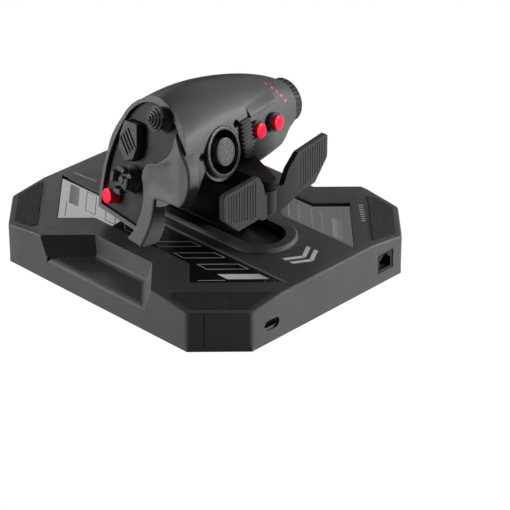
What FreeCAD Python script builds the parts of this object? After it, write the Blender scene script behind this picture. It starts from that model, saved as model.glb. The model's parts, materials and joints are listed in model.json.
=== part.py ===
import FreeCAD, Part
import math
import os
from FreeCAD import Vector

os.makedirs("parts", exist_ok=True)

# Slide throttle quadrant, left-hand. Millimetres, +Z up, origin at the middle of the base on the
# table. +X is the user's right (the thumb side of the grip), +Y is away from the user.

# ---------------------------------------------------------------- driving dimensions: base
base_width = 180.0            # along X
base_depth = 205.0            # along Y
base_top = 29.8               # height of the top skin
base_chamfer = 26.3           # leg of the 45 degree corner chamfer
base_edge_fillet = 1.6
wall = 2.8                    # moulded wall of the base housing
foot_height = 1.2             # how far the rubber feet stand below the housing
crease_run = 18.8             # from the corner chamfer in to the crease where the corner dips
crease_drop = 3.4             # how far the corner dips at the chamfer
corner_lift = 2.6             # how far the housing's bottom edge rises at the corners

scoop_half_top = 49.8         # half length of the hand scoop at the outer edge
scoop_depth = 24.0            # how far the scoop reaches in from the side
scoop_floor = 16.5            # height of the scoop floor
scoop_draft = 3.0             # how far the walls lean in at the floor
scoop_floor_fillet = 3.4
scoop_lip_radius = 4.0

slot_half_width = 14.4
slot_arc_y = 48.0             # centre of the slot's round ends
bezel_width = 7.1             # width of the raised lip round the slot
bezel_height = 2.6

inlay_inner_x = 28.5
inlay_waist_x = 52.4
inlay_waist_y = 40.9
inlay_end_sum = 124.5         # x + y along the inlay's slanting end
inlay_wing_x = 68.2
inlay_recess = 2.2
inlay_thickness = 1.0

pad_margin = 4.2              # from the housing's edge in to the corner pad
pad_depth = 1.0
pad_proud = 0.3

# ---------------------------------------------------------------- driving dimensions: slide
slide_travel = 30.0           # each way from the middle
rail_radius = 3.0
rail_x = 30.0
rail_z = 14.5
rail_half_length = 84.0
bush_wall = 1.5
bush_length = 14.0
bush_gap = 0.05               # radial running fit on the rails
carriage_half_x = 38.0
carriage_half_y = 24.0
carriage_half_z = 6.2
neck_half_width = 11.8
shutter_thickness = 1.0
shutter_half_x = 19.0
shutter_half_y = 65.0
frame_sheet = 2.0
frame_half_x = 39.0

# ---------------------------------------------------------------- driving dimensions: grip
# Stations of the grip body from the dial end to the thumb end:
# x, rear y, front y, bottom z, top z, and how much the rear leans in towards the top
grip_stations = [
    (-59.0, -9.8, 19.8, 68.2, 98.2, 0.0),
    (-41.0, -19.5, 23.0, 63.5, 106.8, 0.15),
    (-15.0, -28.5, 27.0, 59.0, 114.6, 0.30),
    (10.0, -32.5, 30.0, 57.5, 119.0, 0.40),
    (34.0, -33.6, 33.0, 57.0, 119.4, 0.45),
    (60.0, -33.6, 36.5, 57.0, 115.0, 0.45),
]
grip_squareness = 2.35        # 2 is an ellipse, more is squarer
grip_wall = 3.0
grip_split_y = -8.0           # the seam between the front and rear shells

thumb_x = 46.4                # where the thumb face crosses y = 0 at its origin height
thumb_z = 80.0
thumb_normal = (0.957, -0.146, 0.246)
thumb_block_depth = 19.0
thumb_rim = 2.6
thumb_recess = 2.4
thumb_rest_proud = 1.5
thumb_rest_thick = 6.0
thumb_plate = 1.6

front_origin = (16.6, 30.6, 86.0)      # middle of the thumb-stick ring on the front face
front_normal = (-0.14, 0.96, 0.25)
ring_outer = 15.3
ring_inner = 13.0
ring_height = 3.2
stick_cap_radius = 7.8

button_facet_normal = (-0.14, 0.98, 0.13)
red_button_radius = 4.6
red_button_travel = 1.2
button_gap = 0.25

dial_radius = 15.4
dial_width = 6.6
dial_teeth = 30

rocker_y = 51.5               # axis of the paddle rocker
rocker_x = -1.0
rocker_yaw = 8.0              # degrees the rocker and the front face are turned
rocker_half_span = 51.0
rocker_bend = 19.5            # where each wing bends
rocker_forward = 6.5          # how far the bends stand ahead of the axis
rocker_thickness = 3.4
rocker_bottom = 53.5
rocker_top = 80.8
rocker_swing = 12.0           # degrees each way
rocker_ribs = 11

running_gap = 0.4

half_x = base_width / 2
half_y = base_depth / 2
chamfer_sum = half_x + half_y - base_chamfer          # x + y on the corner chamfer
crease_sum = chamfer_sum - crease_run * math.sqrt(2)
bottom_z = foot_height
cover_z = bottom_z + 2.6
cavity_top = base_top - wall
usb_x = 47.8
usb_z = 12.7
jack_x = -49.2
jack_z = 14.8
boss_spots = [(x, y) for x in (-58, 58) for y in (-76, 76)] + [(x, 0) for x in (-50, 50)]
usb_half = (4.6, 1.75)
usb_depth = 7.4
board_thickness = 1.6
tension_spot = (-rail_x, 66.0)
spacer_y = 75.0
spacer_radius = 5.0
jack_half = (6.9, 6.4)
foot_radius = 8.0
foot_seat = 0.8
foot_spots = [(x, y) for x in (-68, 68) for y in (-62, 62)]
insert_radius = 4.0
insert_bore = 2.5
insert_spots = [(x, y) for x in (-50, 50) for y in (-60, 60)]
insert_length = 7.0
block_top = rail_z + carriage_half_z
neck_arc_y = slot_arc_y - slide_travel
shutter_z = cavity_top - 1.6
neck_top = 60.0
leg_bottom = base_top + 1.2
mushroom_at = (5.9, 28.4)
castle_at = (-11.9, -16.3)
thumb_rocker_at = (-16.3, 5.6)
thumb_button_at = (-25.6, -31.9)
hat_bore = 7.0
shelf_origin = (1.0, 27.0, 96.5)
button_spots = [(18.2, -9.9), (35.6, -11.4)]
rib_corner = (2.2, -22.9)
rib_width = 8.6
rib_height = 23.2
screw_spots = [(16.0, 11.2), (-17.6, 3.2)]
arm_low = 63.5
arm_high = 73.2
pin_radius = 2.0
pin_gap = 0.05
rocker_hub_low = 48.5
rocker_hub_high = arm_low - 0.4
tip_clearance = 7.0
stick_pivot = -7.4
bowl_depth = 12.4
dial_x = grip_stations[0][0]
dial_y = (grip_stations[0][1] + grip_stations[0][2]) / 2
dial_z = (grip_stations[0][3] + grip_stations[0][4]) / 2
dial_pin_radius = 3.0


# ---------------------------------------------------------------- helpers
def vec(p):
    return Vector(*p)


def prism(points, z0, z1):
    """Upright prism over an XY polygon."""
    wire = Part.makePolygon([Vector(x, y, z0) for x, y in points] + [Vector(*points[0], z0)])
    return Part.Face(wire).extrude(Vector(0, 0, z1 - z0))


def side_prism(points, y0, y1):
    """Prism along Y over an XZ polygon."""
    wire = Part.makePolygon([Vector(x, y0, z) for x, z in points] + [Vector(points[0][0], y0, points[0][1])])
    return Part.Face(wire).extrude(Vector(0, y1 - y0, 0))


def box(x0, x1, y0, y1, z0, z1):
    return Part.makeBox(x1 - x0, y1 - y0, z1 - z0, Vector(x0, y0, z0))


def rod(radius, start, direction, length):
    return Part.makeCylinder(radius, length, vec(start), vec(direction))


def obround(half_width, arc_y, z0, z1):
    """Slot shape along Y with round ends."""
    middle = box(-half_width, half_width, -arc_y, arc_y, z0, z1)
    ends = [rod(half_width, (0, s * arc_y, z0), (0, 0, 1), z1 - z0) for s in (-1, 1)]
    return middle.fuse(ends).removeSplitter()


def octagon(inset):
    """Base outline, offset inwards by inset."""
    hx = base_width / 2 - inset
    hy = base_depth / 2 - inset
    leg = base_chamfer - inset * (2 - math.sqrt(2))
    corners = [(hx, hy - leg), (hx - leg, hy)]
    outline = corners + [(-x, y) for x, y in reversed(corners)]
    return outline + [(-x, -y) for x, y in outline]


def quarters(shape):
    """The shape at the +X +Y corner and its mirror images at the other three."""
    x_pair = [shape, shape.mirror(Vector(0, 0, 0), Vector(1, 0, 0))]
    return x_pair + [s.mirror(Vector(0, 0, 0), Vector(0, 1, 0)) for s in x_pair]


def frame_at(origin, normal):
    """Placement with local Z along the normal, local X level and local Y upwards."""
    n = vec(normal).normalize()
    right = Vector(0, 0, 1).cross(n).normalize()
    up = n.cross(right)
    rotation = FreeCAD.Rotation(right, up, n, "ZXY")
    return FreeCAD.Placement(vec(origin), rotation)


def put(shape, frame):
    """Copy of a shape drawn at the origin, moved into a frame."""
    placed = shape.copy()
    placed.Placement = frame.multiply(placed.Placement)
    return placed


def local_prism(edges, z0, z1):
    face = Part.Face(Part.Wire(edges))
    face.translate(Vector(0, 0, z0))
    return face.extrude(Vector(0, 0, z1 - z0))


def spline(points):
    curve = Part.BSplineCurve()
    curve.interpolate([Vector(x, y, 0) for x, y in points])
    return curve.toShape()


def line(a, b):
    return Part.LineSegment(Vector(*a, 0), Vector(*b, 0)).toShape()


def write(name, shape):
    if not shape.isValid() or not shape.Solids:
        raise ValueError(name + " is not a valid solid")
    shape.exportStep("parts/" + name + ".step")


# ---------------------------------------------------------------- base housing
diagonal = Vector(1, 1, 0).normalize()
across = Vector(-1, 1, 0).normalize()


def corner_band(z_low, z_high):
    """Solid over the +X +Y corner between two planes parallel to the dipping corner."""
    s0 = crease_sum / math.sqrt(2)
    s1 = s0 + 2 * crease_run
    drop = 2 * crease_drop
    outline = [(s0, z_low), (s1, z_low - drop), (s1, z_high - drop), (s0, z_high)]
    points = [diagonal * s + Vector(0, 0, base_top + z) - across * half_y for s, z in outline]
    return Part.Face(Part.makePolygon(points + [points[0]])).extrude(across * (2 * half_y))


def scoop_tool(grow):
    """Hand scoop on the +X side. A positive grow gives the shell of material round it."""
    rim_z = base_top + (0 if grow else 5)

    def outline(in_x, half, z):
        inner = half - (half_x - in_x)
        outer_x = half_x + 20
        reach = half + 20
        pts = [(outer_x, -reach), (in_x, -inner), (in_x, inner), (outer_x, reach)]
        return Part.makePolygon([Vector(x, y, z) for x, y in pts + [pts[0]]])

    floor_z = scoop_floor - grow
    top = outline(half_x - scoop_depth - grow, scoop_half_top + grow * 0.41, rim_z)
    low = outline(half_x - scoop_depth + scoop_draft - grow,
                  scoop_half_top - scoop_draft - 5 + grow * 0.41, floor_z)
    tool = Part.makeLoft([low, top], True, True)
    if grow:
        return tool
    edges = [e for e in tool.Edges if all(abs(v.Z - floor_z) < 0.01 for v in e.Vertexes)
             and min(v.X for v in e.Vertexes) < half_x]
    return tool.makeFillet(scoop_floor_fillet, edges)


def scoop_lip():
    """Waste outside the rounded outer edge of the scoop floor, +X side."""
    r = scoop_lip_radius
    half = scoop_half_top - scoop_draft - 5.0
    waste = box(half_x - r, half_x + 5, -half, half, scoop_floor - r, scoop_floor + 0.5)
    return waste.cut(rod(r, (half_x - r, -half - 1, scoop_floor - r), (0, 1, 0), 2 * half + 2))


def inlay_outline(inset):
    """Outline of the glossy inlay on the +X side."""
    k = inset * (math.sqrt(2) - 1)
    wing_y = inlay_end_sum - inlay_wing_x
    half = [
        (inlay_inner_x + inset, inlay_end_sum - inlay_inner_x - inset - inset * math.sqrt(2)),
        (inlay_wing_x - inset * math.sqrt(2), wing_y),
        (inlay_waist_x - inset, wing_y - (inlay_wing_x - inlay_waist_x) - k),
    ]
    return half + [(x, -y) for x, y in reversed(half)]


def pad_outline(inset):
    """Outline of the rubber corner pad at the +X +Y corner."""
    x1 = half_x - pad_margin - inset
    y1 = half_y - pad_margin + 0.6 - inset
    inner = crease_sum + 0.8 + inset
    outer = chamfer_sum - pad_margin * 1.25 - inset
    return [(x1 - 3.4, inner - x1 + 3.4), (x1, inner - x1 + 7.0), (x1, outer - x1),
            (outer - y1, y1), (inner - y1 + 3.8, y1), (inner - y1 + 1.0, y1 - 1.0)]


def usb_opening(grow, y0, y1):
    half_w, half_h = usb_half[0] + grow, usb_half[1] + grow
    middle = box(usb_x - half_w + half_h, usb_x + half_w - half_h, y0, y1, usb_z - half_h, usb_z + half_h)
    ends = [rod(half_h, (usb_x + s * (half_w - half_h), y0, usb_z), (0, 1, 0), y1 - y0) for s in (-1, 1)]
    return middle.fuse(ends).removeSplitter()


def base_housing():
    body = prism(octagon(0), bottom_z, base_top)
    dip = [c for c in quarters(corner_band(0, 12))]
    body = body.cut(dip)
    upright = [e for e in body.Edges if len(e.Vertexes) == 2
               and abs(e.Vertexes[0].X - e.Vertexes[1].X) < 0.01
               and abs(e.Vertexes[0].Y - e.Vertexes[1].Y) < 0.01]
    body = body.makeFillet(5.0, upright)
    rim = [e for e in body.Edges
           if e.BoundBox.ZMin > base_top - crease_drop - 1 and on_outline(e)]
    body = body.makeFillet(base_edge_fillet, rim)
    scoops = [scoop_tool(0), scoop_tool(0).mirror(Vector(0, 0, 0), Vector(1, 0, 0))]
    shells = [scoop_tool(wall), scoop_tool(wall).mirror(Vector(0, 0, 0), Vector(1, 0, 0))]
    cavity = prism(octagon(wall), bottom_z - 1, cavity_top)
    cavity = cavity.cut(shells).cut(quarters(corner_band(-wall, 12)))
    body = body.cut(cavity)
    body = body.cut(scoops)
    body = body.cut([scoop_lip(), scoop_lip().mirror(Vector(0, 0, 0), Vector(1, 0, 0))])
    body = body.cut(obround(slot_half_width + bezel_width * 0.4, slot_arc_y, cavity_top - 1, base_top + 5))
    recess = prism(inlay_outline(0), base_top - inlay_recess, base_top + 5)
    body = body.cut([recess, recess.mirror(Vector(0, 0, 0), Vector(1, 0, 0))])
    pads = prism(pad_outline(0), 0, base_top + 5).common(corner_band(-pad_depth, 12))
    body = body.cut(quarters(pads))
    lift = prism([(half_x + 5, half_y - base_chamfer - 16), (half_x + 5, half_y + 5),
                  (half_x - base_chamfer - 16, half_y + 5)], 0, bottom_z + corner_lift)
    body = body.cut(quarters(lift))
    seam = box(-0.4, 0.4, -0.9, 6, 0, base_top - crease_drop + 4)
    seam.rotate(Vector(0, 0, 0), Vector(0, 0, 1), -45)
    seam.translate(diagonal * (chamfer_sum / math.sqrt(2)))
    body = body.cut(quarters(seam))
    body = body.cut([usb_opening(1.6, half_y - 1.4, half_y + 1), usb_opening(0.25, half_y - wall - 1, half_y + 1)])
    body = body.cut(box(jack_x - jack_half[0], jack_x + jack_half[0], half_y - wall - 1, half_y + 1,
                        jack_z - jack_half[1], jack_z + jack_half[1]))
    posts = [rod(4.2, (x, y, cover_z), (0, 0, 1), cavity_top - cover_z + 0.5) for x, y in boss_spots]
    body = body.fuse(posts)
    pilots = [rod(1.3, (x, y, cover_z - 1), (0, 0, 1), 10) for x, y in boss_spots]
    return body.cut(pilots).removeSplitter()


def on_outline(edge):
    """True for an edge that lies on the outer faces of the base."""
    for v in edge.Vertexes:
        x, y = abs(v.X), abs(v.Y)
        slack = min(half_x - x, half_y - y, (chamfer_sum - x - y) / math.sqrt(2))
        if abs(slack) > 2.2:
            return False
    c = edge.CenterOfMass
    x, y = abs(c.x), abs(c.y)
    return min(half_x - x, half_y - y, (chamfer_sum - x - y) / math.sqrt(2)) < 2.2


def bottom_cover():
    plate = prism(octagon(wall + 0.3), bottom_z, cover_z)
    plate = plate.cut([rod(1.7, (x, y, 0), (0, 0, 1), 10) for x, y in boss_spots])
    plate = plate.cut(rod(3.6, (*tension_spot, 0), (0, 0, 1), 10))
    plate = plate.cut([rod(3.3, (x, y, 0), (0, 0, 1), bottom_z + 1.3) for x, y in boss_spots])
    plate = plate.cut([rod(foot_radius + 0.1, (x, y, 0), (0, 0, 1), bottom_z + foot_seat) for x, y in foot_spots])
    return plate.cut([rod(insert_radius, (x, y, 0), (0, 0, 1), 10) for x, y in insert_spots])


# ---------------------------------------------------------------- base fittings
def both_sides(shape):
    return Part.makeCompound([shape, shape.mirror(Vector(0, 0, 0), Vector(1, 0, 0))])


def slot_bezel():
    """Raised lip round the slot, with a collar that lines the slot's edge."""
    outer = obround(slot_half_width + bezel_width, slot_arc_y, base_top, base_top + bezel_height)
    rim = [e for e in outer.Edges if e.BoundBox.ZMin > base_top + bezel_height - 0.01]
    outer = outer.makeChamfer(1.2, rim)
    collar = obround(slot_half_width + bezel_width * 0.4 - 0.1, slot_arc_y, cavity_top, base_top)
    return outer.fuse(collar).cut(obround(slot_half_width, slot_arc_y, cavity_top - 1, 60)).removeSplitter()


def corner_pads():
    inside = prism(pad_outline(0.15), 0, base_top + 5)
    pad = inside.common(corner_band(-pad_depth, pad_proud))
    return Part.makeCompound(quarters(pad))


def slide_frame():
    """Folded steel tray that holds the two rails."""
    end_y = rail_half_length - 4
    z0 = cover_z + 0.6
    tray = box(-frame_half_x, frame_half_x, -end_y, end_y, z0, z0 + frame_sheet)
    tray = tray.cut(box(-14, 14, -end_y + 14, end_y - 14, z0 - 1, z0 + frame_sheet + 1))
    for s in (-1, 1):
        y0, y1 = sorted((s * end_y, s * (end_y - frame_sheet)))
        ear = box(-frame_half_x, frame_half_x, y0, y1, z0, rail_z + rail_radius + 3)
        ear = ear.cut(box(-frame_half_x + 16, frame_half_x - 16, y0 - 1, y1 + 1, rail_z - 4, 40))
        tray = tray.fuse(ear)
    tray = tray.removeSplitter()
    tray = tray.cut(rod(2.3, (*tension_spot, 0), (0, 0, 1), 20))
    return tray.cut([rod(rail_radius + 0.02, (x, -end_y - 1, rail_z), (0, 1, 0), 2 * end_y + 2)
                     for x in (-rail_x, rail_x)])


def tray_spacers():
    """Moulded washers between the tray and the cover."""
    spots = [(x, y) for x in (-rail_x, rail_x) for y in (-spacer_y, spacer_y)]
    return Part.makeCompound([rod(spacer_radius, (x, y, cover_z), (0, 0, 1), 0.6) for x, y in spots])


def slide_rails():
    rails = [rod(rail_radius, (x, -rail_half_length, rail_z), (0, 1, 0), 2 * rail_half_length)
             for x in (-rail_x, rail_x)]
    return Part.makeCompound(rails)


def mount_inserts():
    """Threaded brass inserts in the cover, for bolting the base to a board."""
    inserts = [rod(insert_radius - 0.02, (x, y, bottom_z), (0, 0, 1), insert_length)
               .cut(rod(insert_bore, (x, y, 0), (0, 0, 1), 20)) for x, y in insert_spots]
    return Part.makeCompound(inserts)


def cover_screws():
    screws = []
    for x, y in boss_spots:
        head = rod(2.9, (x, y, bottom_z + 0.1), (0, 0, 1), 1.2)
        shank = rod(1.3, (x, y, bottom_z + 0.1), (0, 0, 1), 9)
        hex_key = rod(1.0, (x, y, 0), (0, 0, 1), bottom_z + 0.8)
        screws.append(head.fuse(shank).cut(hex_key))
    return Part.makeCompound(screws)


def rubber_feet():
    return Part.makeCompound([rod(foot_radius, (x, y, 0), (0, 0, 1), bottom_z + foot_seat) for x, y in foot_spots])


def usb_socket():
    depth = usb_depth
    y1 = half_y - 0.9
    shell = usb_opening(-0.1, y1 - depth, y1)
    shell = shell.cut(usb_opening(-0.45, y1 - depth + 1, y1 + 1))
    tongue = box(usb_x - 3.3, usb_x + 3.3, y1 - depth + 0.5, y1 - 0.8, usb_z - 0.35, usb_z + 0.35)
    return shell.fuse(tongue).removeSplitter()


def link_jack():
    """Six-way modular jack with a stepped key way above its opening."""
    y1 = half_y - 0.4
    depth = 15.0
    w, h = jack_half
    body = box(jack_x - w, jack_x + w, y1 - depth, y1, jack_z - h, jack_z + h)
    mouth = box(jack_x - 4.9, jack_x + 4.9, y1 - 11, y1 + 1, jack_z - 4.6, jack_z + 2.0)
    key_low = box(jack_x - 3.1, jack_x + 3.1, y1 - 11, y1 + 1, jack_z + 1.9, jack_z + 3.5)
    key_high = box(jack_x - 1.8, jack_x + 1.8, y1 - 11, y1 + 1, jack_z + 3.4, jack_z + 5.0)
    body = body.cut([mouth, key_low, key_high])
    wires = [box(jack_x + i * 1.27 - 0.25, jack_x + i * 1.27 + 0.25, y1 - 11, y1 - 3,
                 jack_z - 4.6, jack_z - 3.9) for i in (-2.5, -1.5, -0.5, 0.5, 1.5, 2.5)]
    return body.fuse(wires).removeSplitter()


def base_board():
    """Main circuit board, on edge behind the two sockets, with its parts."""
    y1 = half_y - 0.9 - usb_depth
    board = box(-58, 57, y1 - board_thickness, y1, cover_z + 1.0, cavity_top - 3.0)
    return board.cut(box(jack_x - 7.0, jack_x + 7.0, y1 - 5, y1 + 1, jack_z - 6.5, jack_z + 6.5))


def ballast_plate():
    """Steel weights that keep the base planted."""
    plate = box(43, 60, -45, 45, cover_z, cover_z + 4.0)
    plate = plate.cut([rod(5.5, (x, y, 0), (0, 0, 1), 40) for x, y in boss_spots + insert_spots])
    return both_sides(plate)


def position_sensor():
    """Strip sensor along the tray that reads the carriage."""
    z0 = cover_z + 0.6 + frame_sheet
    strip = box(-24, -17, -50, 50, z0, z0 + 1.2)
    return strip


def tension_screw():
    """Adjuster under the base that presses a brake shoe on the left rail."""
    x, y = tension_spot
    shoe = box(x - 4, x + 4, y - 3, y + 3, rail_z - rail_radius - 2.6, rail_z - rail_radius)
    shank = rod(2.0, (x, y, bottom_z + 0.2), (0, 0, 1), rail_z - rail_radius - 2.6 - bottom_z - 0.2)
    head = rod(3.4, (x, y, bottom_z + 0.2), (0, 0, 1), 1.6)
    return shoe.fuse([shank, head]).cut(box(x - 0.5, x + 0.5, y - 5, y + 5, 0, bottom_z + 1.0)).removeSplitter()


# ---------------------------------------------------------------- carriage
def carriage_block():
    body = box(-carriage_half_x, carriage_half_x, -carriage_half_y, carriage_half_y,
               rail_z - carriage_half_z, rail_z + carriage_half_z)
    upright = [e for e in body.Edges if abs(e.Vertexes[0].Z - e.Vertexes[1].Z) > 5]
    body = body.makeFillet(3, upright)
    bores = [rod(rail_radius + 0.6, (x, -40, rail_z), (0, 1, 0), 80) for x in (-rail_x, rail_x)]
    seats = [rod(rail_radius + bush_wall, (x, s * (carriage_half_y - bush_length / 2 + 1) - bush_length / 2 - 1,
                                           rail_z), (0, 1, 0), bush_length + 2)
             for x in (-rail_x, rail_x) for s in (-1, 1)]
    lightening = box(-22, 22, -16, 16, rail_z - carriage_half_z - 1, rail_z + carriage_half_z - 3)
    return body.cut(bores + seats + [lightening])


def slide_bushes():
    bushes = []
    for x in (-rail_x, rail_x):
        for s in (-1, 1):
            start = (x, s * (carriage_half_y - bush_length / 2) - bush_length / 2, rail_z)
            outer = rod(rail_radius + bush_wall, start, (0, 1, 0), bush_length)
            bushes.append(outer.cut(rod(rail_radius + bush_gap, start, (0, 1, 0), bush_length)))
    return Part.makeCompound(bushes)


def dust_shutter():
    plate = box(-shutter_half_x, shutter_half_x, -shutter_half_y, shutter_half_y,
                shutter_z - shutter_thickness, shutter_z)
    return plate.cut(obround(neck_half_width + 0.1, neck_arc_y, 0, 60))


def neck():
    """Hollow stem from the carriage up through the slot into the grip."""
    lower = obround(neck_half_width, neck_arc_y, block_top, neck_top)
    collar = obround(neck_half_width + 3.0, neck_arc_y, block_top, shutter_z - shutter_thickness)
    return lower.fuse(collar).cut(obround(5.0, 8.0, block_top - 1, neck_top + 1)).removeSplitter()


# ---------------------------------------------------------------- grip body
def grip_section(station, inset):
    """Egg-shaped section across X, its rear side leaning in towards the top."""
    x, rear, front, low, high, lean = station
    y_mid, z_mid = (rear + front) / 2, (low + high) / 2
    half_y_here, half_z_here = (front - rear) / 2 - inset, (high - low) / 2 - inset
    points = []
    steps = 16
    for i in range(steps):
        angle = 2 * math.pi * (i + 0.5) / steps
        c, s = math.cos(angle), math.sin(angle)
        cy = math.copysign(abs(c) ** (2 / grip_squareness), c)
        sz = math.copysign(abs(s) ** (2 / grip_squareness), s)
        reach = half_y_here * (1 - lean * sz) if c < 0 else half_y_here
        points.append(Vector(x, y_mid + reach * cy, z_mid + half_z_here * sz))
    curve = Part.BSplineCurve()
    curve.interpolate(points, PeriodicFlag=True)
    return Part.Wire([curve.toShape()])


def grip_loft(inset):
    stations = [list(s) for s in grip_stations]
    stations[0][0] += inset
    body = Part.makeLoft([grip_section(s, inset) for s in stations], True, False)
    return body.cut(beyond_thumb_face(0))


def beyond_thumb_face(height):
    """Everything further out than a plane parallel to the thumb face."""
    return put(Part.makeBox(300, 300, 200, Vector(-150, -150, height)), thumb_frame())


def thumb_frame(lift=0.0):
    n = vec(thumb_normal).normalize()
    origin = Vector(thumb_x, 0, thumb_z) + n * lift
    return frame_at((origin.x, origin.y, origin.z), thumb_normal)


def front_frame(right=0.0, up=0.0, lift=0.0, normal=front_normal):
    frame = frame_at(front_origin, normal)
    base = frame.multVec(Vector(right, up, lift))
    return frame_at((base.x, base.y, base.z), normal)


def inset_points(points, inset):
    """Move the corners of a clockwise outline inwards by inset."""
    moved = []
    for i, here in enumerate(points):
        before, after = Vector(*points[i - 1], 0), Vector(*points[(i + 1) % len(points)], 0)
        corner = Vector(*here, 0)
        into, out = (corner - before).normalize(), (after - corner).normalize()
        normal_in, normal_out = Vector(into.y, -into.x, 0), Vector(out.y, -out.x, 0)
        miter = normal_in + normal_out
        miter = miter * (inset * 2 / miter.Length ** 2)
        moved.append((corner.x + miter.x, corner.y + miter.y))
    return moved


def thumb_outline(inset=0.0):
    """Rim of the thumb face: rear and top sweep, front slope, and the skirt's lower edge."""
    rim = [(-36.8, -43.2), (-38.8, -27.0), (-38.2, -9.0), (-31.8, 13.0), (-18.5, 32.5), (0.5, 39.2),
           (13.0, 36.2), (24.4, 29.5), (32.0, 18.5), (39.6, 7.5), (41.6, -6.0), (36.5, -14.8),
           (8.0, -18.0), (8.0, -43.2)]
    if inset:
        rim = inset_points(rim, inset)
    sweep = spline(rim[:8])
    slope = spline(rim[7:12])
    return [sweep, slope] + [line(rim[i], rim[(i + 1) % 14]) for i in (11, 12, 13)]


def thumb_block():
    block = put(local_prism(thumb_outline(), -thumb_block_depth, 0), thumb_frame())
    ahead = put(Part.makeBox(200, 200, 60, Vector(-100, -100, 0.5)), front_frame())
    return block.cut(ahead)


def on_local_plane(edge, frame, height):
    inverse = frame.inverse()
    return all(abs(inverse.multVec(p).z - height) < 0.01 for p in edge.discretize(5))


def thumb_panel():
    """Inset panel that carries the thumb controls."""
    plate = local_prism(thumb_outline(thumb_rim + 0.12), -thumb_recess - thumb_plate, -thumb_recess)
    return put(plate, thumb_frame()).cut([thumb_rest_seat()] + thumb_bores())


def panel_pocket():
    return put(local_prism(thumb_outline(thumb_rim), -thumb_recess - thumb_plate, 20), thumb_frame())


def rest_outline(grow):
    """Thumb rest: ridge down the front, hooked lower lip and the leg to the base."""
    g = grow
    ridge = spline([(21.5 + g, 26.0 + g), (31.5 + g, 17.5 + g), (40.3 + g, 8.5), (43.0 + g, -7.0),
                    (37.6 + g, -14.6 - g)])
    lip = spline([(37.6 + g, -14.6 - g), (25.5, -16.3 - g), (15.2 + g, -18.0 - g)])
    shin = spline([(15.2 + g, -18.0 - g), (16.2 + g, -33.0), (11.0 + g, -50.0)])
    foot = line((11.0 + g, -50.0), (-3.5 - g, -50.0))
    calf = spline([(-3.5 - g, -50.0), (4.8 - g, -28.0), (3.6 - g, -19.0), (-1.0 - g, -8.0), (3.0 - g, -0.8 + g),
                   (12.0, 3.2 + g), (19.0 - g, 9.8 + g), (21.8 - g, 17.0), (21.5 + g, 26.0 + g)])
    return [ridge, lip, shin, foot, calf]


def rest_solid(grow, top):
    """Thin thumb pad that thickens into the leg below the lip."""
    pad = local_prism(rest_outline(grow), -thumb_rest_thick - grow, top)
    stem = local_prism(rest_outline(grow), -thumb_block_depth + 1 - grow, top)
    stem = stem.common(Part.makeBox(26 + 2 * grow, 40, 80, Vector(-6 - grow, -58, -40)))
    return pad.fuse(stem).removeSplitter()


def thumb_rest_seat():
    return put(rest_solid(0.12, 20), thumb_frame())


def thumb_rest():
    rest = rest_solid(0, thumb_rest_proud)
    face = [e for e in rest.Edges if on_local_plane(e, FreeCAD.Placement(), thumb_rest_proud)]
    rest = put(rest.makeFillet(1.2, face), thumb_frame())
    return rest.common(box(-20, 90, -80, 90, leg_bottom, 130))


def thumb_rocker_outline(grow):
    pts = [(-7.5, 11), (4.5, 12.5), (8.5, 0), (7, -8), (0, -12), (-8.5, -6.5), (-9.5, 2)]
    k = 1 + grow / 9.0
    return [(x * k, y * k) for x, y in pts]


def thumb_bores():
    frame = thumb_frame()
    bores = [Part.makeCylinder(hat_bore, 30, Vector(*mushroom_at, -12)),
             Part.makeCylinder(hat_bore, 30, Vector(*castle_at, -12)),
             Part.makeCylinder(red_button_radius + button_gap, 30, Vector(*thumb_button_at, -10))]
    rocker = prism([(x + thumb_rocker_at[0], y + thumb_rocker_at[1]) for x, y in thumb_rocker_outline(0.5)], -9, 20)
    return [put(b, frame) for b in bores] + [put(rocker, frame)]


def front_cuts():
    """Ring bowl, button shelf, button bores and screw holes in the front face."""
    ring = front_frame()
    bowl = put(Part.makeCylinder(ring_inner, 40, Vector(0, 0, -bowl_depth)), ring)
    facet = frame_at(shelf_origin, button_facet_normal)
    shelf = put(Part.makeBox(70, 60, 30, Vector(1.2, -60, 0)), facet)
    seat = put(Part.makeCylinder(ring_outer, 40), ring)
    cuts = [bowl, seat, shelf]
    for at in button_spots:
        cuts.append(put(Part.makeCylinder(red_button_radius + button_gap, 20, Vector(*at, -8)), facet))
    cuts.append(put(Part.makeBox(rib_width + 0.8, rib_height + 0.8, 12, Vector(*rib_corner, -6)), facet))
    for at in screw_spots:
        cuts.append(put(Part.makeCylinder(2.5, 20, Vector(*at, -1.2)), ring))
        cuts.append(put(Part.makeCylinder(1.2, 20, Vector(*at, -13)), ring))
    cuts.append(rod(dial_pin_radius, (dial_x + 20, dial_y, dial_z), (-1, 0, 0), 30))
    return cuts


def grip_solid():
    """Outer form of the grip: lofted body, thumb block and the ring seat."""
    body = grip_loft(0).fuse(thumb_block())
    seat = put(Part.makeCylinder(ring_outer + 2.2, 24, Vector(0, 0, -24)), front_frame())
    return body.fuse(seat).removeSplitter()


def grip_hollow():
    """Space inside the shells."""
    inner = grip_loft(grip_wall).cut(beyond_thumb_face(-thumb_rest_thick - 2))
    keep = put(Part.makeCylinder(ring_outer + 2.2, 40, Vector(0, 0, -bowl_depth - 2.6)), front_frame())
    return inner.cut(keep)


def grip_shells():
    body = grip_solid().cut(grip_hollow())
    body = body.cut(front_cuts())
    body = body.cut([panel_pocket(), thumb_rest_seat()] + thumb_bores())
    body = body.cut(obround(neck_half_width + 0.05, neck_arc_y, 20, neck_top))
    body = body.cut(arm_solid())
    front = body.common(box(-90, 90, grip_split_y, 90, 20, 140))
    rear = body.common(box(-90, 90, -90, grip_split_y, 20, 140))
    return front, rear


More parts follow.
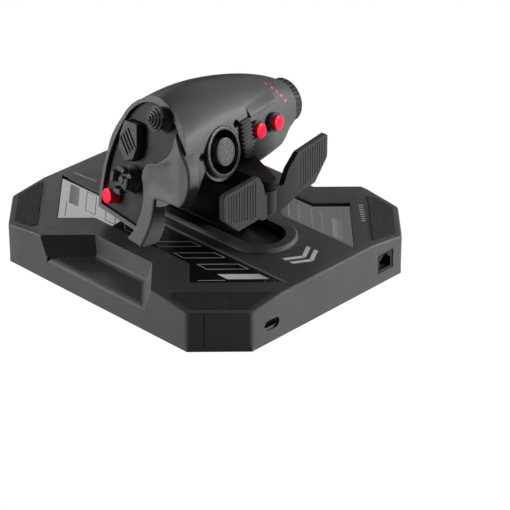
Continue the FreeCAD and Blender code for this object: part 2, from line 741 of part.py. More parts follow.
def arm_solid():
    """Bracket under the front face that carries the paddle rocker's pin."""
    half = 11.0
    tip = 5.2
    back_y = 20.0
    plan = [(rocker_x - half - 1.5, back_y), (rocker_x + half + 1.5, back_y), (rocker_x + half, 30.0),
            (rocker_x + tip, rocker_y), (rocker_x - tip, rocker_y), (rocker_x - half, 30.0)]
    body = prism(plan, arm_low, 90)
    nose = rod(tip, (rocker_x, rocker_y, arm_low), (0, 0, 1), 30)
    top_cut = Part.Face(Part.makePolygon([Vector(-60, 15, arm_high), Vector(-60, 33, arm_high),
                                          Vector(-60, 60, arm_high - 4.5), Vector(-60, 60, 120),
                                          Vector(-60, 15, 120), Vector(-60, 15, arm_high)]))
    bowl = put(Part.makeCylinder(ring_outer + running_gap, 60, Vector(0, 0, -bowl_depth)), front_frame())
    return body.fuse(nose).cut([top_cut.extrude(Vector(120, 0, 0)), bowl]).removeSplitter()


def rocker_arm():
    return arm_solid().cut(rod(pin_radius, (rocker_x, rocker_y, 0), (0, 0, 1), 69.0))


def rocker_pin():
    return rod(pin_radius, (rocker_x, rocker_y, rocker_hub_low - 0.8), (0, 0, 1), 69.0 - rocker_hub_low + 0.8)


def paddle_rocker():
    """Gull-wing paddles about an upright pin, ribbed on the finger side."""
    t = rocker_thickness
    reach = rocker_forward
    mid = [(0.0, -t * 0.2), (rocker_bend * 0.42, reach * 0.55), (rocker_bend, reach),
           (rocker_half_span, reach - 1.0)]
    front = [(x, y + t / 2) for x, y in mid]
    back = [(x, y - t / 2) for x, y in reversed(mid)]
    right = prism(front + back, 30, 100)
    plan = right.fuse(right.mirror(Vector(0, 0, 0), Vector(1, 0, 0)))
    s = rocker_half_span
    outline = [(0, rocker_hub_low), (4.5, rocker_hub_low), (9.0, rocker_bottom - 5.5), (13.0, rocker_bottom - 4.0),
               (rocker_bend, rocker_bottom), (s - 13.0, rocker_bottom), (s - 0.8, rocker_bottom + 11.0),
               (s, rocker_bottom + 13.0), (s, rocker_top - 1.5), (s - 1.5, rocker_top), (rocker_bend, rocker_top),
               (rocker_bend - 7.0, rocker_top - 8.5), (9.0, rocker_hub_high), (0, rocker_hub_high)]
    half_face = side_prism(outline, -40, 40)
    wings = plan.common(half_face.fuse(half_face.mirror(Vector(0, 0, 0), Vector(1, 0, 0)))).removeSplitter()
    hub = rod(5.6, (0, 0, rocker_hub_low), (0, 0, 1), rocker_hub_high - rocker_hub_low)
    body = wings.fuse(hub).removeSplitter()
    pitch = (rocker_half_span - rocker_bend - 4.0) / rocker_ribs
    for side in (-1, 1):
        for i in range(rocker_ribs):
            x = side * (rocker_bend + 3.0 + i * pitch)
            body = body.cut(box(x - 0.35, x + 0.35, reach + t / 2 - 1.1, reach + 8, rocker_bottom + 2.0 + i * 0.6,
                                rocker_top - 2.0))
    body = body.cut(rod(pin_radius + pin_gap, (0, 0, 0), (0, 0, 1), 200))
    clearance = rod(tip_clearance, (0, 0, rocker_hub_high), (0, 0, 1), 40)
    body = body.cut(clearance)
    body.rotate(Vector(0, 0, 0), Vector(0, 0, 1), rocker_yaw)
    body.translate(Vector(rocker_x, rocker_y, 0))
    return body


# ---------------------------------------------------------------- front controls
def stick_ring():
    ring = Part.makeCylinder(ring_outer, ring_height).cut(Part.makeCylinder(ring_inner, ring_height))
    outer = [e for e in ring.Edges if abs(e.CenterOfMass.z - ring_height) < 0.01 and e.Curve.Radius > ring_inner + 0.1]
    return put(ring.makeFillet(0.9, outer), front_frame())


def stick_boss():
    """Floor plate of the bowl that carries the stick's gimbal."""
    plate = Part.makeCylinder(ring_inner - 0.1, 2.0, Vector(0, 0, -bowl_depth))
    plate = plate.cut(Part.makeCylinder(5.0, 3, Vector(0, 0, -bowl_depth - 0.5)))
    return put(plate, front_frame())


def stick_gimbal():
    ring = Part.makeSphere(4.8, Vector(0, 0, stick_pivot))
    ring = ring.common(Part.makeBox(20, 20, 5.0, Vector(-10, -10, stick_pivot - 2.5)))
    return put(ring.cut(Part.makeCylinder(3.3, 20, Vector(0, 0, stick_pivot - 10))), front_frame())


def stick_cap():
    stem = Part.makeCylinder(2.1, 2.2 - stick_pivot, Vector(0, 0, stick_pivot - 2.2))
    cap = Part.makeCylinder(stick_cap_radius, 2.6, Vector(0, 0, 1.6))
    cap = cap.makeFillet(0.8, [e for e in cap.Edges if abs(e.CenterOfMass.z - 4.2) < 0.01])
    skirt = Part.makeCone(4.2, stick_cap_radius - 1.0, 2.0, Vector(0, 0, -0.4))
    grooves = [Part.makeCylinder(r + 0.25, 1, Vector(0, 0, 3.9)).cut(Part.makeCylinder(r - 0.25, 1, Vector(0, 0, 3.9)))
               for r in (1.6, 3.0)]
    spokes = []
    for i in range(8):
        spoke = Part.makeBox(stick_cap_radius - 4.0, 0.5, 1, Vector(3.0, -0.25, 3.9))
        spoke.rotate(Vector(0, 0, 0), Vector(0, 0, 1), 45 * i + 15)
        spokes.append(spoke)
    return put(stem.fuse([skirt, cap]).cut(grooves + spokes).removeSplitter(), front_frame())


def front_button(at):
    facet = frame_at(shelf_origin, button_facet_normal)
    cap = Part.makeCylinder(red_button_radius, 8.4, Vector(*at, -3.0))
    cap = cap.makeFillet(1.1, [e for e in cap.Edges if abs(e.CenterOfMass.z - 5.4) < 0.01])
    return put(cap, facet)


def button_bezels():
    """Collars round the front buttons."""
    facet = frame_at(shelf_origin, button_facet_normal)
    rings = [Part.makeCylinder(red_button_radius + 1.3, 2.8, Vector(*at, 0))
             .cut(Part.makeCylinder(red_button_radius + button_gap, 2.8, Vector(*at, 0))) for at in button_spots]
    return Part.makeCompound([put(r, facet) for r in rings])


def finger_rocker():
    """Toothed rocker beside the ring, on a level pin."""
    facet = frame_at(shelf_origin, button_facet_normal)
    width, height = rib_width, rib_height
    x0, y0 = rib_corner[0] + 0.4, rib_corner[1] + 0.4
    body = Part.makeBox(width, height, 5.5, Vector(x0, y0, -3.5))
    teeth = 9
    pitch = height / teeth
    for i in range(teeth):
        low = y0 + i * pitch
        profile = Part.makePolygon([Vector(x0, low, 1.99), Vector(x0, low + pitch * 0.35, 4.4), Vector(x0, low + pitch, 1.99),
                                    Vector(x0, low, 1.99)])
        body = body.fuse(Part.Face(profile).extrude(Vector(width, 0, 0)))
    return put(body.removeSplitter(), facet)


def grip_screws():
    screws = []
    for at in screw_spots:
        head = Part.makeCylinder(2.4, 1.6, Vector(*at, -1.2))
        slot_x = Part.makeBox(3.0, 0.7, 1, Vector(at[0] - 1.5, at[1] - 0.35, -0.3))
        slot_y = Part.makeBox(0.7, 3.0, 1, Vector(at[0] - 0.35, at[1] - 1.5, -0.3))
        shank = Part.makeCylinder(1.2, 12, Vector(*at, -13))
        screws.append(put(head.cut([slot_x, slot_y]).fuse(shank), front_frame()))
    return Part.makeCompound(screws)


# ---------------------------------------------------------------- thumb controls
def mushroom_hat():
    """Ridged hat switch on a stem."""
    x, y = mushroom_at
    z = -thumb_recess
    rings = [Part.makeCylinder(3.2, 7.0, Vector(x, y, z - 3.0)),
             Part.makeCylinder(7.6, 1.6, Vector(x, y, z + 4.0)),
             Part.makeCylinder(6.0, 1.4, Vector(x, y, z + 5.6)),
             Part.makeCylinder(4.3, 1.3, Vector(x, y, z + 7.0)),
             Part.makeCylinder(2.4, 1.2, Vector(x, y, z + 8.3))]
    return put(rings[0].fuse(rings[1:]).removeSplitter(), thumb_frame())


def hat_collar(at):
    x, y = at
    z = -thumb_recess
    collar = Part.makeCylinder(hat_bore, 1.4 + thumb_plate, Vector(x, y, z - thumb_plate))
    return collar.cut(Part.makeCylinder(4.6, 10, Vector(x, y, z - 5)))


def hat_collars():
    """Fixed collars round the stems of the two hat switches."""
    return Part.makeCompound([put(hat_collar(at), thumb_frame()) for at in (mushroom_at, castle_at)])


def hat_gimbal(at):
    x, y = at
    z = -thumb_recess - 2.4
    ball = Part.makeSphere(4.3, Vector(x, y, z)).common(Part.makeBox(20, 20, 3.6, Vector(x - 10, y - 10, z - 1.8)))
    return put(ball.cut(Part.makeCylinder(3.65, 10, Vector(x, y, z - 5))), thumb_frame())


def castle_hat():
    """Castellated hat switch: a dished disc with four towers."""
    x, y = castle_at
    z = -thumb_recess
    stem = Part.makeCylinder(3.2, 6.0, Vector(x, y, z - 3.0))
    disc = Part.makeCylinder(7.4, 2.0, Vector(x, y, z + 3.0))
    crown = Part.makeCylinder(7.4, 3.6, Vector(x, y, z + 5.0)).cut(Part.makeCylinder(4.4, 3.6, Vector(x, y, z + 5.0)))
    gaps = []
    for i in range(4):
        gap = Part.makeBox(10, 4.6, 4, Vector(0, -2.3, 0))
        gap.rotate(Vector(0, 0, 0), Vector(0, 0, 1), 45 + 90 * i)
        gap.translate(Vector(x, y, z + 5.6))
        gaps.append(gap)
    knob = Part.makeCylinder(2.2, 1.6, Vector(x, y, z + 5.0))
    return put(stem.fuse([disc, crown.cut(gaps), knob]).removeSplitter(), thumb_frame())


def thumb_rocker():
    """Grooved two-way rocker."""
    z = -thumb_recess
    pts = [(x + thumb_rocker_at[0], y + thumb_rocker_at[1]) for x, y in thumb_rocker_outline(0)]
    body = prism(pts, z - 4.0, z + 3.6)
    for i in range(4):
        groove = Part.makeBox(13, 1.1, 2, Vector(-6.5, -0.55, 0))
        groove.rotate(Vector(0, 0, 0), Vector(0, 0, 1), -38)
        shift = (i - 1.5) * 2.9
        groove.translate(Vector(thumb_rocker_at[0] + shift * 0.62 - 0.5, thumb_rocker_at[1] + shift * 0.79, z + 2.6))
        body = body.cut(groove)
    return put(body, thumb_frame())


def button_switches():
    """Contact blocks under the three buttons."""
    facet = frame_at(shelf_origin, button_facet_normal)
    blocks = []
    for at in button_spots:
        block = Part.makeCylinder(3.4, 3.4, Vector(*at, -8.0))
        post = Part.makeCylinder(1.5, 30, Vector(*at, -38.0))
        blocks.append(put(block.fuse(post), facet).common(box(-90, 90, board_thickness, 60, 20, 140)))
    blocks.append(put(Part.makeCylinder(3.4, 3.2, Vector(*thumb_button_at, -10.0)), thumb_frame()))
    return Part.makeCompound(blocks)


def thumb_button():
    z = -thumb_recess
    cap = Part.makeCylinder(red_button_radius, 8.6, Vector(*thumb_button_at, z - 3.0))
    cap = cap.makeFillet(1.1, [e for e in cap.Edges if abs(e.CenterOfMass.z - (z + 5.6)) < 0.01])
    return put(cap, thumb_frame())


# ---------------------------------------------------------------- dial


def dial_wheel():
    x0 = dial_x - running_gap
    wheel = rod(dial_radius, (x0, dial_y, dial_z), (-1, 0, 0), dial_width)
    ends = [e for e in wheel.Edges if abs(e.CenterOfMass.x - (x0 - dial_width)) < 0.01]
    wheel = wheel.makeChamfer(1.0, ends)
    notches = []
    for i in range(dial_teeth):
        angle = 2 * math.pi * i / dial_teeth
        c = (x0 + 1, dial_y + (dial_radius + 0.35) * math.cos(angle), dial_z + (dial_radius + 0.35) * math.sin(angle))
        notches.append(rod(0.85, c, (-1, 0, 0), dial_width + 2))
    wheel = wheel.cut(notches)
    dish = rod(dial_radius - 4.0, (x0 - dial_width + 1.2, dial_y, dial_z), (-1, 0, 0), 5)
    wheel = wheel.cut(dish)
    return wheel.cut(rod(dial_pin_radius + 0.05, (x0 + 1, dial_y, dial_z), (-1, 0, 0), 20))


def dial_pin():
    head = rod(5.0, (dial_x - running_gap - dial_width + 1.0, dial_y, dial_z), (-1, 0, 0), 1.0)
    shaft = rod(dial_pin_radius, (dial_x + grip_wall, dial_y, dial_z), (-1, 0, 0), grip_wall + running_gap + dial_width - 1.0)
    return head.fuse(shaft).removeSplitter()


def grip_board():
    """Circuit board cut to the inside of the shells."""
    return box(-46, 18, 0, board_thickness, 70, 130).common(grip_hollow())


# ---------------------------------------------------------------- write the sub-parts
def build():
    write("base_housing", base_housing())
    write("bottom_cover", bottom_cover())
    inlay = prism(inlay_outline(0.15), base_top - inlay_recess, base_top - inlay_recess + inlay_thickness)
    write("right_inlay", inlay)
    write("left_inlay", inlay.mirror(Vector(0, 0, 0), Vector(1, 0, 0)))
    write("slot_bezel", slot_bezel())
    write("corner_pads", corner_pads())
    write("slide_frame", slide_frame())
    write("tray_spacers", tray_spacers())
    write("slide_rails", slide_rails())
    write("mount_inserts", mount_inserts())
    write("cover_screws", cover_screws())
    write("rubber_feet", rubber_feet())
    write("usb_socket", usb_socket())
    write("link_jack", link_jack())
    write("base_board", base_board())
    write("ballast_plates", ballast_plate())
    write("position_sensor", position_sensor())
    write("tension_screw", tension_screw())
    write("carriage_block", carriage_block())
    write("slide_bushes", slide_bushes())
    write("dust_shutter", dust_shutter())
    write("neck", neck())
    front, rear = grip_shells()
    write("grip_front_shell", front)
    write("grip_rear_shell", rear)
    write("thumb_panel", thumb_panel())
    write("thumb_rest", thumb_rest())
    write("rocker_arm", rocker_arm())
    write("rocker_pin", rocker_pin())
    write("paddle_rocker", paddle_rocker())
    write("stick_ring", stick_ring())
    write("stick_floor", stick_boss())
    write("stick_gimbal", stick_gimbal())
    write("stick_cap", stick_cap())
    write("front_button_inner", front_button(button_spots[0]))
    write("front_button_outer", front_button(button_spots[1]))
    write("button_bezels", button_bezels())
    write("finger_rocker", finger_rocker())
    write("grip_screws", grip_screws())
    write("mushroom_hat", mushroom_hat())
    write("castle_hat", castle_hat())
    write("hat_collars", hat_collars())
    write("mushroom_gimbal", hat_gimbal(mushroom_at))
    write("castle_gimbal", hat_gimbal(castle_at))
    write("thumb_rocker", thumb_rocker())
    write("thumb_button", thumb_button())
    write("button_switches", button_switches())
    write("dial_wheel", dial_wheel())
    write("dial_pin", dial_pin())
    write("grip_board", grip_board())


build()
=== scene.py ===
import json
import math
import bmesh
import bpy
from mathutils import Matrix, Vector
from mathutils.bvhtree import BVHTree


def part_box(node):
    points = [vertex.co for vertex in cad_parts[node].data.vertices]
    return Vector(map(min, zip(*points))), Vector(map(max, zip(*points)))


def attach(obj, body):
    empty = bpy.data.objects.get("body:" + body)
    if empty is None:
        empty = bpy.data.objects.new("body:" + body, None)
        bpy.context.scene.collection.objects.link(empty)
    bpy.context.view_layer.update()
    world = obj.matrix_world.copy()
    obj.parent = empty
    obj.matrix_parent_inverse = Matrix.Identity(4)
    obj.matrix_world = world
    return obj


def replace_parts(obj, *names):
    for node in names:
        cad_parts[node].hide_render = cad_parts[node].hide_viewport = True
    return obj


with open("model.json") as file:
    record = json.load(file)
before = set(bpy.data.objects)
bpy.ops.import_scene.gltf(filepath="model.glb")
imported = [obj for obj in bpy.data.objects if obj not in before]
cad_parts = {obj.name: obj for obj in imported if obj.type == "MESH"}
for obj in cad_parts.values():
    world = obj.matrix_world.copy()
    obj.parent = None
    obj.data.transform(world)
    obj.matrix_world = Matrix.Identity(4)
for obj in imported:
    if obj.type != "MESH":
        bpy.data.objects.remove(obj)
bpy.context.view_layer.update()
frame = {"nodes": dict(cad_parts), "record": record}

MM = 0.001
FLAT, HARD = 0.6, 28            # degrees: facets merged below, edges rounded above
SMOOTH, TURNED = 32, 38         # degrees up to which the edges of skins and of turned forms shade smooth


# ---------------------------------------------------------------- materials
class Nodes:
    """A material's node tree, with short calls to add and join nodes."""

    def __init__(self, name):
        self.material = bpy.data.materials.new(name)
        self.material.use_nodes = True
        self.tree = self.material.node_tree
        self.shader = self.tree.nodes["Principled BSDF"]
        self.coords = self.add("ShaderNodeTexCoord").outputs["Object"]

    def add(self, kind, **values):
        node = self.tree.nodes.new(kind)
        for key, value in values.items():
            setattr(node, key, value)
        return node

    def join(self, output, socket):
        self.tree.links.new(output, socket)

    def noise(self, scale, detail=2.0, rough=0.5, squash=None):
        node = self.add("ShaderNodeTexNoise")
        node.inputs["Scale"].default_value = scale
        node.inputs["Detail"].default_value = detail
        node.inputs["Roughness"].default_value = rough
        source = self.coords
        if squash:
            stretch = self.add("ShaderNodeMapping")
            stretch.inputs["Scale"].default_value = squash
            self.join(self.coords, stretch.inputs["Vector"])
            source = stretch.outputs["Vector"]
        self.join(source, node.inputs["Vector"])
        return node.outputs["Fac"]

    def remap(self, value, low, high, to_low, to_high):
        node = self.add("ShaderNodeMapRange")
        for name, number in (("From Min", low), ("From Max", high), ("To Min", to_low), ("To Max", to_high)):
            node.inputs[name].default_value = number
        self.join(value, node.inputs["Value"])
        return node.outputs["Result"]

    def mix(self, factor, a, b):
        node = self.add("ShaderNodeMix", data_type="RGBA")
        self.join(factor, node.inputs["Factor"])
        for socket, value in ((node.inputs[6], a), (node.inputs[7], b)):
            if hasattr(value, "is_output"):
                self.join(value, socket)
            else:
                socket.default_value = (*value, 1.0)
        return node.outputs[2]

    def bump(self, height, strength, distance, normal=None):
        node = self.add("ShaderNodeBump")
        node.inputs["Strength"].default_value = strength
        node.inputs["Distance"].default_value = distance
        self.join(height, node.inputs["Height"])
        if normal:
            self.join(normal, node.inputs["Normal"])
        return node.outputs["Normal"]

    def edges(self, radius):
        """Rounded normals, and a mask that is 1 where an edge is rounded."""
        bevel = self.add("ShaderNodeBevel", samples=6)
        bevel.inputs["Radius"].default_value = radius
        flat = self.add("ShaderNodeNewGeometry").outputs["Normal"]
        dot = self.add("ShaderNodeVectorMath", operation="DOT_PRODUCT")
        self.join(bevel.outputs["Normal"], dot.inputs[0])
        self.join(flat, dot.inputs[1])
        return bevel.outputs["Normal"], self.remap(dot.outputs["Value"], 0.995, 0.90, 0.0, 1.0)


def moulded(name, colour, rough, grain=0.25, grain_scale=5200, edge_radius=0.35 * MM, highlight_gain=1.7,
            specular=0.5, coat=0.0):
    """Injection-moulded plastic: spark-eroded grain, uneven gloss, edges polished by handling and lit by a
    painted highlight.
    """
    n = Nodes(name)
    normal, edge = n.edges(edge_radius)
    cloud = n.noise(38, 4, 0.6)
    tint = n.mix(n.remap(cloud, 0.35, 0.7, 0.0, 1.0), colour, [c * 1.18 for c in colour])
    # painted highlight: the colour is lightened on rounded edges
    painted_highlight = [min(1.0, c * highlight_gain + 0.004) for c in colour]
    n.join(n.mix(edge, tint, painted_highlight), n.shader.inputs["Base Color"])
    smear = n.noise(95, 5, 0.65)
    gloss = n.remap(smear, 0.3, 0.75, rough - 0.035, rough + 0.045)
    polish = n.add("ShaderNodeMath", operation="MULTIPLY_ADD")
    n.join(edge, polish.inputs[0])
    polish.inputs[1].default_value = -0.10
    n.join(gloss, polish.inputs[2])
    n.join(polish.outputs[0], n.shader.inputs["Roughness"])
    pits = n.noise(grain_scale, 2, 0.6)
    normal = n.bump(pits, grain, 0.03 * MM, normal)
    normal = n.bump(n.noise(420, 3, 0.5), grain * 0.35, 0.04 * MM, normal)
    n.join(normal, n.shader.inputs["Normal"])
    n.shader.inputs["Specular IOR Level"].default_value = specular
    n.shader.inputs["Coat Weight"].default_value = coat
    n.shader.inputs["Coat Roughness"].default_value = 0.08
    return n.material


def polished(name, colour, rough=0.06, edge_radius=0.3 * MM, coat=0.6):
    """Polished moulding with faint swirl marks."""
    n = Nodes(name)
    normal, edge = n.edges(edge_radius)
    # painted highlight: the colour is lightened on rounded edges
    n.join(n.mix(edge, colour, [min(1.0, c * 1.5 + 0.01) for c in colour]), n.shader.inputs["Base Color"])
    swirl = n.noise(240, 6, 0.7, (1.0, 6.0, 1.0))
    n.join(n.remap(swirl, 0.3, 0.8, rough, rough + 0.05), n.shader.inputs["Roughness"])
    n.join(n.bump(n.noise(60, 2, 0.4), 0.08, 0.05 * MM, normal), n.shader.inputs["Normal"])
    n.shader.inputs["Coat Weight"].default_value = coat
    n.shader.inputs["Coat Roughness"].default_value = 0.04
    return n.material


def grip_rubber(name, colour, pitch_scale):
    """Rubber with a fine raised mesh."""
    n = Nodes(name)
    normal, edge = n.edges(0.3 * MM)
    turn = n.add("ShaderNodeMapping")
    turn.inputs["Rotation"].default_value = (0, 0, math.radians(45))
    n.join(n.coords, turn.inputs["Vector"])
    cells = n.add("ShaderNodeTexVoronoi", feature="F1")
    cells.inputs["Scale"].default_value = pitch_scale
    cells.inputs["Randomness"].default_value = 1.0
    n.join(turn.outputs["Vector"], cells.inputs["Vector"])
    mesh = n.remap(cells.outputs["Distance"], 0.28, 0.46, 0.0, 1.0)
    # painted shade: the colour is darkened in the grooves between the raised cells and lightened on the cells
    n.join(n.mix(mesh, [c * 1.25 for c in colour], [c * 0.6 for c in colour]), n.shader.inputs["Base Color"])
    n.join(n.remap(n.noise(300, 3), 0.3, 0.7, 0.55, 0.72), n.shader.inputs["Roughness"])
    flip = n.remap(mesh, 0.0, 1.0, 1.0, 0.0)
    normal = n.bump(flip, 0.7, 0.2 * MM, normal)
    n.join(n.bump(n.noise(4000, 2), 0.3, 0.03 * MM, normal), n.shader.inputs["Normal"])
    n.shader.inputs["Specular IOR Level"].default_value = 0.35
    return n.material


def metal(name, colour, rough, brushed=(1.0, 1.0, 30.0)):
    """Machined metal with fine tool marks."""
    n = Nodes(name)
    normal, edge = n.edges(0.15 * MM)
    lay = n.noise(900, 4, 0.6, brushed)
    n.join(n.mix(lay, [c * 0.85 for c in colour], colour), n.shader.inputs["Base Color"])
    n.join(n.remap(lay, 0.3, 0.7, rough, rough + 0.12), n.shader.inputs["Roughness"])
    n.join(n.bump(lay, 0.15, 0.03 * MM, normal), n.shader.inputs["Normal"])
    n.shader.inputs["Metallic"].default_value = 1.0
    return n.material


def ink(name, colour):
    """Screen-printed ink, slightly broken up."""
    n = Nodes(name)
    cover = n.noise(1400, 3, 0.6)
    thin = [c * 0.86 for c in colour]
    n.join(n.mix(n.remap(cover, 0.3, 0.7, 0, 1), thin, colour), n.shader.inputs["Base Color"])
    n.join(n.remap(cover, 0.3, 0.7, 0.42, 0.6), n.shader.inputs["Roughness"])
    n.join(n.bump(cover, 0.2, 0.01 * MM), n.shader.inputs["Normal"])
    return n.material


def circuit(name):
    """Solder-resist board with copper traces under it."""
    n = Nodes(name)
    brick = n.add("ShaderNodeTexBrick")
    brick.inputs["Scale"].default_value = 160
    brick.inputs["Color1"].default_value = (0.012, 0.10, 0.04, 1)
    brick.inputs["Color2"].default_value = (0.014, 0.13, 0.05, 1)
    brick.inputs["Mortar"].default_value = (0.03, 0.22, 0.09, 1)
    n.join(n.coords, brick.inputs["Vector"])
    n.join(brick.outputs["Color"], n.shader.inputs["Base Color"])
    n.join(n.remap(n.noise(200), 0.3, 0.7, 0.25, 0.4), n.shader.inputs["Roughness"])
    return n.material


shell_black = moulded("base_shell_black", (0.030, 0.030, 0.031), 0.40, grain=0.35, grain_scale=4200)
grip_black = moulded("grip_black", (0.034, 0.034, 0.035), 0.42, grain=0.22, grain_scale=5600, highlight_gain=2.0)
arm_black = moulded("arm_black", (0.004, 0.004, 0.004), 0.55, grain=0.2, highlight_gain=1.4, specular=0.25)
cap_black = moulded("cap_black", (0.040, 0.040, 0.041), 0.42, grain=0.2, highlight_gain=1.3, edge_radius=0.15 * MM)
dial_black = moulded("dial_black", (0.014, 0.014, 0.014), 0.42, grain=0.2, highlight_gain=1.3,
                     edge_radius=0.15 * MM)
control_black = moulded("control_black", (0.022, 0.022, 0.023), 0.34, grain=0.16, highlight_gain=2.6,
                        edge_radius=0.25 * MM)
paddle_black = moulded("paddle_black", (0.014, 0.014, 0.0145), 0.38, grain=0.18, highlight_gain=2.4,
                       edge_radius=0.3 * MM)
panel_black = moulded("panel_black", (0.010, 0.010, 0.0105), 0.46, grain=0.3, highlight_gain=1.8)
gloss_black = polished("gloss_black", (0.008, 0.008, 0.009), 0.07)
ring_black = polished("ring_black", (0.016, 0.016, 0.017), 0.16, edge_radius=0.5 * MM, coat=0.3)
red_gloss = polished("red_gloss", (0.80, 0.006, 0.022), 0.14, edge_radius=0.4 * MM, coat=0.5)
pad_rubber = grip_rubber("pad_rubber", (0.024, 0.024, 0.024), 1050)
foot_rubber = grip_rubber("foot_rubber", (0.02, 0.02, 0.02), 500)
steel = metal("steel", (0.56, 0.56, 0.58), 0.25)
dark_steel = metal("dark_steel", (0.06, 0.06, 0.062), 0.32)
brass = metal("brass_metal", (0.76, 0.58, 0.28), 0.25)
board = circuit("board_green")
pale_ink = ink("pale_ink", (0.52, 0.52, 0.53))
line_ink = ink("line_ink", (0.36, 0.36, 0.37))
rose_ink = ink("rose_ink", (0.62, 0.02, 0.07))
dark_ink = ink("dark_ink", (0.012, 0.012, 0.012))

FINISH = {
    "base_shell": shell_black, "grip_shell": grip_black, "control_plastic": control_black,
    "gloss_inlay": gloss_black, "rubber": pad_rubber, "steel": steel, "brass": brass, "board": board,
    "red_button": red_gloss,
}
OWN_FINISH = {
    "button_bezels": ring_black, "dial_pin": dark_steel, "dial_wheel": dial_black, "dust_shutter": panel_black,
    "finger_rocker": control_black, "grip_screws": dark_steel, "hat_collars": control_black,
    "link_jack": panel_black, "neck": panel_black, "paddle_rocker": paddle_black, "rocker_arm": arm_black,
    "rubber_feet": foot_rubber, "slot_bezel": shell_black, "stick_cap": cap_black, "stick_floor": panel_black,
    "stick_ring": ring_black, "thumb_panel": panel_black, "thumb_rest": grip_black, "usb_socket": dark_steel,
}
slot_of = {p["node"]: p["material_slot"] for p in frame["record"]["subparts"]}
body_of = {n: b for b, members in frame["record"]["behaviour"]["bodies"].items() for n in members}


def finish_of(node):
    return OWN_FINISH.get(node, FINISH[slot_of[node]])


for name, obj in frame["nodes"].items():
    obj.data.materials.clear()
    obj.data.materials.append(finish_of(name))


# ---------------------------------------------------------------- meshes
def place(name, bm, material, body, smooth=None):
    """Object from a bmesh, riding on a body, with edges sharper than smooth degrees kept hard."""
    if smooth is not None:
        limit = math.radians(smooth)
        for face in bm.faces:
            face.smooth = True
        for edge in bm.edges:
            edge.smooth = len(edge.link_faces) == 2 and edge.calc_face_angle(0.0) < limit
    mesh = bpy.data.meshes.new(name)
    bm.to_mesh(mesh)
    bm.free()
    obj = bpy.data.objects.new(name, mesh)
    bpy.context.scene.collection.objects.link(obj)
    mesh.materials.append(material)
    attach(obj, body)
    return obj


def skin(node, width=0.0, reshape=None):
    """Finished skin for a CAD node: smooth curves and, where width is given, rounded edges."""
    bm = bmesh.new()
    bm.from_mesh(frame["nodes"][node].data)
    bmesh.ops.remove_doubles(bm, verts=bm.verts, dist=1e-6)
    if reshape:
        for vert in bm.verts:
            vert.co = reshape(vert.co / MM) * MM
    if width:
        bmesh.ops.dissolve_limit(bm, angle_limit=math.radians(FLAT), verts=bm.verts, edges=bm.edges)
        pairs = [e for e in bm.edges if len(e.link_faces) == 2]
        sharp = [e for e in pairs if e.calc_face_angle(0.0) > math.radians(HARD)]
        bmesh.ops.bevel(bm, geom=sharp, offset=width, offset_type="OFFSET", segments=2, profile=0.5,
                        affect="EDGES", clamp_overlap=True, miter_outer="ARC")
    obj = place(node + "_skin", bm, finish_of(node), body_of[node], SMOOTH)
    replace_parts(obj, node)
    return obj


def plate(bm, points, z0, z1):
    """Adds an upright prism over an XY outline, all in millimetres."""
    low = [bm.verts.new((x * MM, y * MM, z0 * MM)) for x, y in points]
    high = [bm.verts.new((x * MM, y * MM, z1 * MM)) for x, y in points]
    bm.faces.new(high)
    bm.faces.new(low[::-1])
    for i in range(len(points)):
        j = (i + 1) % len(points)
        bm.faces.new((low[i], low[j], high[j], high[i]))


def stroke(bm, a, b, width, z0, z1):
    """Adds a straight bar from a to b."""
    a, b = Vector(a), Vector(b)
    side = (b - a).normalized().orthogonal() * width / 2
    plate(bm, [a - side, b - side, b + side, a + side], z0, z1)


# ---------------------------------------------------------------- the shapes the skins share
def axes_at(origin, normal):
    """Local frame on a face: origin, level axis, upward axis and normal, in millimetres."""
    n = Vector(normal).normalized()
    level = Vector((0, 0, 1)).cross(n).normalized()
    return Vector(origin), level, n.cross(level), n


THUMB = axes_at((46.4, 0, 80), (0.957, -0.146, 0.246))
FRONT = axes_at((16.6, 30.6, 86.0), (-0.14, 0.96, 0.25))
SHELF = axes_at((1.0, 27.0, 96.5), (-0.14, 0.98, 0.13))


def local(axes, p):
    d = p - axes[0]
    return Vector((d.dot(axes[1]), d.dot(axes[2]), d.dot(axes[3])))


def world_of(axes, q):
    return axes[0] + axes[1] * q[0] + axes[2] * q[1] + axes[3] * q[2]


def ease(t):
    t = max(0.0, min(1.0, t))
    return t * t * (3 - 2 * t)


def fuller_grip(p):
    """Lowers the crown, fills the belly under the finger shelf and hollows the shell behind the ring."""
    crown = ease((p.z - 98) / 20) * 2.0 * ease((57 - p.x) / 20)
    along = ease((4 - p.x) / 30) * ease((p.x + 60) / 16)
    belly = ease((82 - p.z) / 12) * along * 5.2
    ahead = ease((80 - p.z) / 8) * ease((p.y - 4) / 12) * along * 3.0
    q = local(THUMB, p)
    tuck = ease((-9 - q.z) / 5) * ease((-2 - q.y) / 9) * ease((q.z + 50) / 18)
    if p.y > -7.5 and tuck > 0:
        p = Vector((p.x, -7.5 + (p.y + 7.5) * (1 - 0.5 * tuck), p.z))
    return Vector((p.x, p.y + ahead, p.z - crown - belly))


def smaller_dial(p):
    """Dial a little inside the end of the shell."""
    low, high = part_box("dial_wheel")
    y, z = (low.y + high.y) / 2 / MM, (low.z + high.z) / 2 / MM
    return Vector((p.x, y + (p.y - y) * 0.90, z + (p.z - z) * 0.90))


def slim_leg(p):
    """Leg of the thumb rest with a thinner section than the grip's flank."""
    q = local(THUMB, p)
    reach = 6.0 + 3.5 * ease((-24 - q.y) / 16)
    if q.z < -reach and q.y < -12:
        q.z = -reach + (q.z + reach) * 0.12
    return world_of(THUMB, q)


